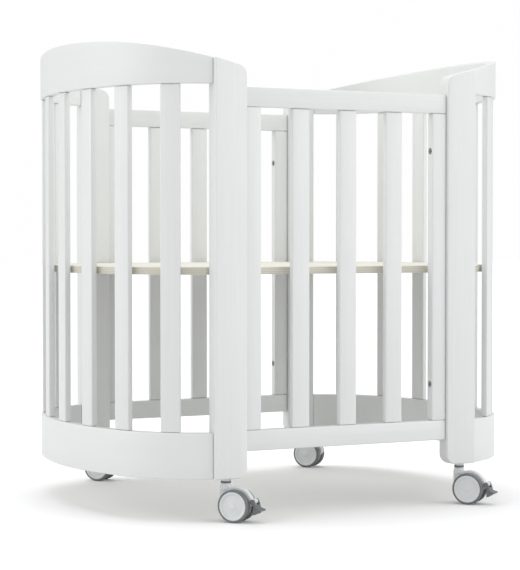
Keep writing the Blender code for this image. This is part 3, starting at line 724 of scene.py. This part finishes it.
def makeStiles(sideName, low, high, y, thick):
    # the counterbores for the bolts' heads show, so they are cut
    for handName, hand in hands.items():
        name = f"{sideName}_stile_{handName}"
        stileLow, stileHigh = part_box(name)
        source = makeRow(name + "Board", 1, 0.0, (stileLow.x + stileHigh.x) / 2, y,
                         stileHigh.x - stileLow.x, thick, low, high, uprightLacquer)
        face = stileLow.x if hand > 0 else stileHigh.x
        cutter = bmesh.new()
        for level in ("lower", "upper"):
            bolt = middleOf(f"{sideName}_{handName}_{level}_bolt")
            place = Matrix.Translation((face, bolt.y, bolt.z)) @ Matrix.Rotation(math.pi / 2, 4, "Y")
            bmesh.ops.create_cone(cutter, cap_ends=True, segments=stile["boreSteps"],
                                  radius1=stile["boreRadius"], radius2=stile["boreRadius"],
                                  depth=2 * stile["boreDepth"], matrix=place)
        tool = bpy.data.objects.new(name + "Cutter", toMesh(cutter, name + "Cutter"))
        bpy.context.scene.collection.objects.link(tool)
        cut = source.modifiers.new("bores", "BOOLEAN")
        cut.operation = "DIFFERENCE"
        cut.solver = "EXACT"
        cut.object = tool
        piece = plainMesh(name + "_painted", source)
        bpy.data.objects.remove(tool)
        smoothShade(piece.data)
        piece.data.materials.clear()
        piece.data.materials.append(uprightLacquer)
        settle(piece, "frame", "white_lacquer", name)


for sideName in sides:
    makeStiles(sideName, *makePanel(sideName))
print("straight sides made")


# bolts

boltHead = {"radius": 0.0059, "height": 0.0040, "edge": 0.0009, "socket": 0.0024, "socketDepth": 0.0022}


def makeBoltHead():
    # a low head with a six-sided socket, its top at z = 0
    h, r = boltHead["height"], boltHead["radius"]
    profile = [(boltHead["socket"], 0.0), (r, 0.0), (r, -h), (0.0, -h)]
    head = turnedSolid(roundedProfile(profile, boltHead["edge"]), 48)
    # the inner edge of the top is pulled to a hexagon and carried down into the socket
    rim = [v for v in head.verts if abs(v.co.z) < 1e-7 and v.co.xy.length < boltHead["socket"] * 1.01]
    for v in rim:
        turn = math.atan2(v.co.y, v.co.x) % (math.pi / 3) - math.pi / 6
        v.co.xy = v.co.xy.normalized() * boltHead["socket"] * math.cos(math.pi / 6) / math.cos(turn)
    edges = [e for e in head.edges if e.is_boundary]
    lifted = bmesh.ops.extrude_edge_only(head, edges=edges)["geom"]
    down = [v for v in lifted if isinstance(v, bmesh.types.BMVert)]
    bmesh.ops.translate(head, verts=down, vec=(0.0, 0.0, -boltHead["socketDepth"]))
    bmesh.ops.contextual_create(head, geom=[e for e in head.edges if e.is_boundary])
    bmesh.ops.recalc_face_normals(head, faces=head.faces)
    return linkMesh("boltHeadShape", toMesh(head, "boltHeadShape"), boltSteel)


def makeBolts():
    names = [f"{side}_{hand}_{level}_bolt" for side in sides for hand in hands
             for level in ("lower", "upper")]
    places = bpy.data.meshes.new("boltPlaces")
    points = []
    directions = []
    for name in names:
        low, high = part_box(name)
        hand = -1 if (low.x + high.x) < 0 else 1
        points.append((low.x if hand > 0 else high.x, (low.y + high.y) / 2, (low.z + high.z) / 2))
        directions.append((-hand, 0.0, 0.0))
    places.from_pydata(points, [], [])
    facing = places.attributes.new("facing", "FLOAT_VECTOR", "POINT")
    for row, direction in zip(facing.data, directions):
        row.vector = direction
    head = makeBoltHead()
    bolts = runTree("panel_bolts", scatterTree, {"Shape": head, "Material": boltSteel}, None, places)
    bpy.data.objects.remove(head)
    settle(bolts, "frame", "dark_steel", *names)


makeBolts()
print("bolts made")


# bed board

board = {"edge": 0.0012, "edgeSegments": 3, "inset": 0.020, "clear": 0.002, "steps": 90}


def makeBoard():
    # follows the inside of both ends; its tongues enter the stiles
    halfDepth = crib["postFace"] - crib["postThick"] - board["clear"]
    reach = (boardHigh.y - boardLow.y) / 2
    stileLow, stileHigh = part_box("front_stile_right")
    shoulder = 0.003
    near, far = stileLow.x + shoulder, stileHigh.x - shoulder
    limit = math.acos((crib["postEdge"] + crib["fitGap"] - endCurve["shoulderX"])
                      / (endCurve["shoulderRadius"] - board["inset"]))
    end = [endPoint(limit * (2 * i / board["steps"] - 1), board["inset"]) for i in range(board["steps"] + 1)]
    end = [(x, y) for x, y in end if abs(y) < halfDepth]
    step = 0.0005  # in from the curve's last points to the straight edges
    end = [(end[0][0] - step, -halfDepth), *end, (end[-1][0] - step, halfDepth)]
    tongue = [(near, -halfDepth), (near, -reach), (far, -reach), (far, -halfDepth)]
    right = tongue + end + [(x, -y) for x, y in reversed(tongue)]
    outline = right + [(-x, y) for x, y in reversed(right)]
    thick = boardHigh.z - boardLow.z
    place = Matrix.Translation((0.0, crib["middleY"], (boardLow.z + boardHigh.z) / 2))
    mesh = toMesh(outlineSolid(outline, thick), "board", place)
    source = bpy.data.objects.new("boardSource", mesh)
    bpy.context.scene.collection.objects.link(source)
    addBevel(source, board["edge"], board["edgeSegments"], 40.0)
    piece = plainMesh("bed_board_ply", source)
    smoothShade(piece.data)
    piece.data.materials.clear()
    piece.data.materials.append(plywood)
    settle(piece, "frame", "cream_plywood", "bed_board")


makeBoard()
print("board made")


# castors; in a castor x is the side the wheels trail to, y is the axle and z = 0 is the floor

castor = {
    "wheelRadius": 0.030, "wheelNear": 0.0075, "wheelFar": 0.0205, "tyreDepth": 0.0040,
    "webThick": 0.013, "hoodRadius": 0.034, "bossRadius": 0.0095, "bossBottom": 0.0615, "bossTop": 0.0695,
    "lugRadius": 0.0046, "hubRadius": 0.016, "axle": 0.003, "steps": 72, "voxel": 0.00055,
}
tread = {"grooves": 3, "grooveDepth": 0.0005, "outerChamfer": 0.0024, "innerChamfer": 0.0022}
stem = {
    "pin": 0.0040, "collar": 0.0090, "collarChamfer": 0.0006, "groove": 0.0070, "pinDepth": 0.022,
    "thread": 0.0050, "threadDepth": 0.0007, "threadPitch": 0.0015, "threadLength": 0.032,
    "ringLow": 0.0698, "ringHigh": 0.0732, "ringRadius": 0.0094,
}
lever = {"halfWidth": 0.012, "slot": 0.0070, "eye": 0.0044, "pin": 0.0018}


def jointNamed(name):
    return next(joint for joint in frame["joints"] if joint["name"] == name)


def castorPlace(name):
    swivel = Vector(jointNamed(name + "_swivel")["pos_m"])
    wheel = Vector(jointNamed(name + "_wheel_spin")["pos_m"])
    trail = (wheel - swivel).xy
    heading = math.atan2(trail.y, trail.x)
    place = Matrix.Translation((swivel.x, swivel.y, 0.0)) @ Matrix.Rotation(heading, 4, "Z")
    return place, trail.length, wheel.z


def sideSolid(points, low, high):
    # an outline in (x, z) that runs from y = low to y = high
    solid = outlineSolid(points, high - low)
    bmesh.ops.transform(solid, matrix=Matrix.Rotation(math.pi / 2, 4, "X"), verts=solid.verts)
    bmesh.ops.translate(solid, verts=solid.verts, vec=(0.0, (low + high) / 2, 0.0))
    return solid


def addSolid(target, solid):
    mesh = toMesh(solid, "addedSolid")
    target.from_mesh(mesh)
    bpy.data.meshes.remove(mesh)


def rodSolid(radius, low, high, steps=40):
    return turnedSolid([(0.0, high), (radius, high), (radius, low), (0.0, low)], steps)


def moulded(name, solids, place, voxel, material, body, slotName, *nodes, smooth=6):
    # overlapping solids become one moulded skin with soft edges
    mesh = toMesh(solids, name + "Source")
    source = bpy.data.objects.new(name + "Source", mesh)
    bpy.context.scene.collection.objects.link(source)
    remesh = source.modifiers.new("oneSkin", "REMESH")
    remesh.mode = "VOXEL"
    remesh.voxel_size = voxel
    soften = source.modifiers.new("softEdges", "SMOOTH")
    soften.factor = 0.5
    soften.iterations = smooth
    piece = plainMesh(name, source)
    piece.data.transform(place)
    piece.data.shade_smooth()
    piece.data.materials.clear()
    piece.data.materials.append(material)
    settle(piece, body, slotName, *nodes)


def hoodOutline(trail, axleZ):
    right = castor["bossRadius"] - trail
    left = -castor["bossRadius"] - trail
    r = castor["hoodRadius"]
    neck = math.degrees(math.acos(right / r))
    points = arc((0.0, 0.0), r, 8.0, neck, 30)
    bossTop = castor["bossBottom"] + 0.003 - axleZ
    points += [(right, bossTop), (left, bossTop), (left, castor["hubRadius"] * 0.75)]
    points += arc((0.0, 0.0), castor["hubRadius"], 200.0, 340.0, 16)
    points += [(r * 0.82, -0.002)]
    return [(x + trail, z + axleZ) for x, z in points]


def makeHood(name, place, trail, axleZ, hinge):
    half = castor["webThick"] / 2
    solids = sideSolid(hoodOutline(trail, axleZ), -half, half)
    addSolid(solids, rodSolid(castor["bossRadius"], castor["bossBottom"] - 0.004, castor["bossTop"]))
    if hinge:
        lug = rodSolid(castor["lugRadius"], -half, half)
        bmesh.ops.transform(lug, matrix=Matrix.Rotation(math.pi / 2, 4, "X"), verts=lug.verts)
        bmesh.ops.translate(lug, verts=lug.verts, vec=(hinge[0], 0.0, hinge[1]))
        addSolid(solids, lug)
    moulded(name + "_castor_hood", solids, place, castor["voxel"], palePlastic,
            name + "_castor_fork", "pale_grey_plastic", name + "_castor_housing")


def makeStem(name, place):
    bottom = castor["bossTop"] + crib["fitGap"]
    top = crib["base"] - crib["fitGap"]
    pitch = stem["threadPitch"]
    root = stem["thread"] - stem["threadDepth"]
    chamfer = stem["collarChamfer"]
    turns = int(stem["threadLength"] / pitch) - 1
    profile = [(0.0, top + stem["threadLength"])]
    for i in range(turns, -1, -1):  # the thread's ridges, top to bottom
        z = top + 0.0008 + i * pitch
        profile += [(root, z + pitch * 0.5), (stem["thread"], z)]
    profile += [(root, top), (stem["collar"] - chamfer, top), (stem["collar"], top - chamfer),
                (stem["collar"], stem["ringHigh"] + 0.0004), (stem["groove"], stem["ringHigh"] + 0.0002),
                (stem["groove"], bottom), (stem["pin"], bottom),
                (stem["pin"], castor["bossTop"] - stem["pinDepth"]),
                (0.0, castor["bossTop"] - stem["pinDepth"])]
    mesh = toMesh(turnedSolid(profile, 48), name + "Stem", place)
    smoothShade(mesh)
    piece = linkMesh(name + "_castor_stem_turned", mesh, zincSteel)
    settle(piece, "frame", "zinc_steel", name + "_castor_stem")
    # a dark plastic ring round the groove above the boss; its dark colour is partly painted shade for the
    # gap between the boss and the collar
    outer, inner = stem["ringRadius"], stem["groove"] - 0.0003
    low, high = max(stem["ringLow"], bottom), stem["ringHigh"]
    corners = [(inner, high), (outer, high), (outer, low), (inner, low), (inner, high)]
    ring = toMesh(turnedSolid(roundedProfile(corners, 0.0006), 48), name + "Ring", place)
    smoothShade(ring)
    settle(linkMesh(name + "_castor_ring", ring, leverPlastic), "frame", "dark_grey_plastic")


def axleTurn(trail, axleZ):
    # turns a solid made about Z so that it lies about the axle
    return Matrix.Translation((trail, 0.0, axleZ)) @ Matrix.Rotation(-math.pi / 2, 4, "X")


def tyreProfile():
    # the tread has shallow grooves round it
    r, near, far = castor["wheelRadius"], castor["wheelNear"], castor["wheelFar"]
    inner = r - castor["tyreDepth"]
    floor = r - tread["grooveDepth"]
    outerEdge = far - tread["outerChamfer"]
    innerEdge = near + tread["innerChamfer"]
    gap = (outerEdge - innerEdge) / (tread["grooves"] + 1)
    face = [(r, outerEdge)]
    for i in range(tread["grooves"]):
        middle = outerEdge - (i + 1) * gap
        face += [(r, middle + 0.0004), (floor, middle + 0.0002), (floor, middle - 0.0002),
                 (r, middle - 0.0004)]
    ring = [(inner, far - 0.0012), (r - 0.0012, far - 0.0004), *face, (r, innerEdge),
            (r - tread["innerChamfer"], near), (inner, near), (inner, far - 0.0012)]
    return roundedProfile(ring, 0.0011, 3)


def discProfile():
    rim = castor["wheelRadius"] - castor["tyreDepth"] - 0.00005
    near, far = castor["wheelNear"], castor["wheelFar"]
    face = [(0.0, far - 0.0013), (0.0052, far - 0.0013), (0.0058, far - 0.0022), (rim * 0.80, far - 0.0026),
            (rim * 0.84, far - 0.0006), (rim * 0.97, far), (rim, far - 0.0008), (rim, near + 0.0006),
            (0.0068, near + 0.0006), (0.0068, near), (0.0, near)]
    return roundedProfile(face, 0.0007, 3)


def makeWheels(name, place, trail, axleZ):
    body = name + "_castor_wheels"
    lying = axleTurn(trail, axleZ)
    steps = castor["steps"]
    parts = {
        "tyres": (tyreProfile, tyreRubber, "grey_tyre"),
        "discs": (discProfile, palePlastic, "pale_grey_plastic"),
    }
    for label, (profile, material, slotName) in parts.items():
        pair = turnedSolid(profile(), steps)
        second = turnedSolid([(r, -z) for r, z in profile()], steps)
        addSolid(pair, second)
        bmesh.ops.recalc_face_normals(pair, faces=pair.faces)
        mesh = toMesh(pair, name + label, place @ lying)
        smoothShade(mesh)
        piece = linkMesh(f"{name}_castor_{label}", mesh, material)
        settle(piece, body, slotName, *([name + "_castor_wheel_pair"] if label == "tyres" else []))
    reach = castor["wheelNear"] + 0.002
    axle = toMesh(rodSolid(castor["axle"], -reach, reach), name + "Axle", place @ lying)
    smoothShade(axle)
    settle(linkMesh(name + "_castor_axle", axle, zincSteel), body, "zinc_steel")


def makeLever(name, place, hinge):
    half, slot = lever["halfWidth"], lever["slot"]
    solids = sideSolid(leverPedal(), -half, half)
    for side in (-1, 1):
        low, high = sorted((side * slot, side * half))
        addSolid(solids, sideSolid(leverCheek(), low, high))
    pin = rodSolid(lever["pin"], -slot - 0.002, slot + 0.002)
    bmesh.ops.transform(pin, matrix=Matrix.Rotation(math.pi / 2, 4, "X"), verts=pin.verts)
    addSolid(solids, pin)
    moved = place @ Matrix.Translation((hinge[0], 0.0, hinge[1]))
    moulded(name + "_castor_pedal", solids, moved, castor["voxel"], leverPlastic,
            name + "_brake_lever", "dark_grey_plastic", name + "_castor_brake_lever", smooth=4)


def leverPedal():
    # the full-width part below the eye, with its lip outwards
    ceiling = -castor["lugRadius"] - 0.0012
    return [(0.0066, ceiling), (0.0074, -0.0095), (0.0088, -0.0114), (0.0108, -0.0125),
            (0.0172, -0.0140), (0.0174, -0.0168), (0.0115, -0.0177), (0.0096, -0.0188),
            (0.0068, -0.0225), (0.0012, -0.0240), (0.0016, -0.0180), (0.0028, ceiling)]


def leverCheek():
    # two of these hold the eye, one on either side of the hood
    floor = -castor["lugRadius"] - 0.0030
    eye = arc((0.0, 0.0), lever["eye"], 270.0, 20.0, 16)
    return eye + [(0.0064, -0.0040), (0.0070, floor), (0.0024, floor)]


def makeCastor(name):
    place, trail, axleZ = castorPlace(name)
    braked = name.startswith("front")
    hinge = None
    if braked:
        spot = place.inverted() @ Vector(jointNamed(name + "_brake")["pos_m"])
        hinge = (spot.x, spot.z)
    makeStem(name, place)
    makeHood(name, place, trail, axleZ, hinge)
    makeWheels(name, place, trail, axleZ)
    if braked:
        makeLever(name, place, hinge)


for castorName in castorNames:
    makeCastor(castorName)
print("castors made")


# floor, light and camera

studio = {
    "floorSize": 60.0, "floorColour": (0.970, 0.972, 0.975), "floorBounce": (0.72, 0.72, 0.73),
    "backdrop": 0.995, "sky": 0.64,
    "lamps": {  # direction in plan, height above the horizon, strength, softness, all angles in degrees
        "above": (75.0, 70.0, 1.15, 60.0),
        "frontRight": (-42.0, 24.0, 1.15, 60.0),
        "backLeft": (165.0, 24.0, 1.05, 60.0),
    },
}


def makeFloor():
    mesh = bpy.data.meshes.new("floor")
    shape = bmesh.new()
    bmesh.ops.create_grid(shape, x_segments=1, y_segments=1, size=studio["floorSize"] / 2)
    shape.to_mesh(mesh)
    shape.free()
    mat, tree, shader = newMaterial("studioFloor")
    tint = noise(tree, objectSpace(tree, (1.0, 1.0, 1.0)), 3.0, 2.0)
    pale = studio["floorColour"]
    colour = blendColours(tree, spread(tree, tint, 0.0, 1.0), pale, tuple(c * 0.995 for c in pale))
    path = addNode(tree, "ShaderNodeLightPath")  # less light comes back up than the camera sees
    colour = blendColours(tree, path.outputs["Is Camera Ray"], studio["floorBounce"], colour)
    tree.links.new(colour, shader.inputs["Base Color"])
    shader.inputs["Roughness"].default_value = 0.7
    floor = linkMesh("floor", mesh, mat)


def makeSky():
    # an even pale surround that lights the crib, and a clean white one behind it
    world = bpy.data.worlds.new("studio")
    world.use_nodes = True
    bpy.context.scene.world = world
    tree = world.node_tree
    tree.nodes.clear()
    lit = addNode(tree, "ShaderNodeBackground")
    lit.inputs["Color"].default_value = (1.0, 1.0, 1.0, 1.0)
    lit.inputs["Strength"].default_value = studio["sky"]
    seen = addNode(tree, "ShaderNodeBackground")
    seen.inputs["Strength"].default_value = studio["backdrop"]
    seen.inputs["Color"].default_value = (1.0, 1.0, 1.0, 1.0)
    path = addNode(tree, "ShaderNodeLightPath")
    mix = addNode(tree, "ShaderNodeMixShader")
    out = addNode(tree, "ShaderNodeOutputWorld")
    tree.links.new(path.outputs["Is Camera Ray"], mix.inputs[0])
    tree.links.new(lit.outputs[0], mix.inputs[1])
    tree.links.new(seen.outputs[0], mix.inputs[2])
    tree.links.new(mix.outputs[0], out.inputs[0])


def addLamp(name, bearing, height, strength, softness):
    # a broad far lamp, so that the floor is lit as evenly as the crib
    light = bpy.data.lights.new(name, "SUN")
    light.energy = strength
    light.angle = math.radians(softness)
    lamp = bpy.data.objects.new(name, light)
    turn, lift = math.radians(bearing), math.radians(height)
    place = Vector((math.cos(turn) * math.cos(lift), math.sin(turn) * math.cos(lift), math.sin(lift)))
    lamp.location = place * 4.0
    lamp.rotation_mode = "QUATERNION"
    lamp.rotation_quaternion = place.to_track_quat("Z", "Y")
    bpy.context.scene.collection.objects.link(lamp)


view = {
    "place": (-1.7214, -3.3181, 0.5143),  # from the crib's middle, on the floor
    "heading": math.radians(-27.205),
    "tilt": math.radians(88.53),
    "lens": 116.37,
    "sensor": 36.0,
}


def makeCamera():
    data = bpy.data.cameras.new("camera")
    data.lens = view["lens"]
    data.sensor_width = view["sensor"]
    camera = bpy.data.objects.new("camera", data)
    x, y, z = view["place"]
    camera.location = (x, y + crib["middleY"], z)
    camera.rotation_euler = (view["tilt"], 0.0, view["heading"])
    bpy.context.scene.collection.objects.link(camera)
    bpy.context.scene.camera = camera


makeFloor()
makeSky()
for lampName, setting in studio["lamps"].items():
    addLamp(lampName, *setting)
makeCamera()
bpy.context.scene.view_settings.view_transform = "Standard"
print("studio made")
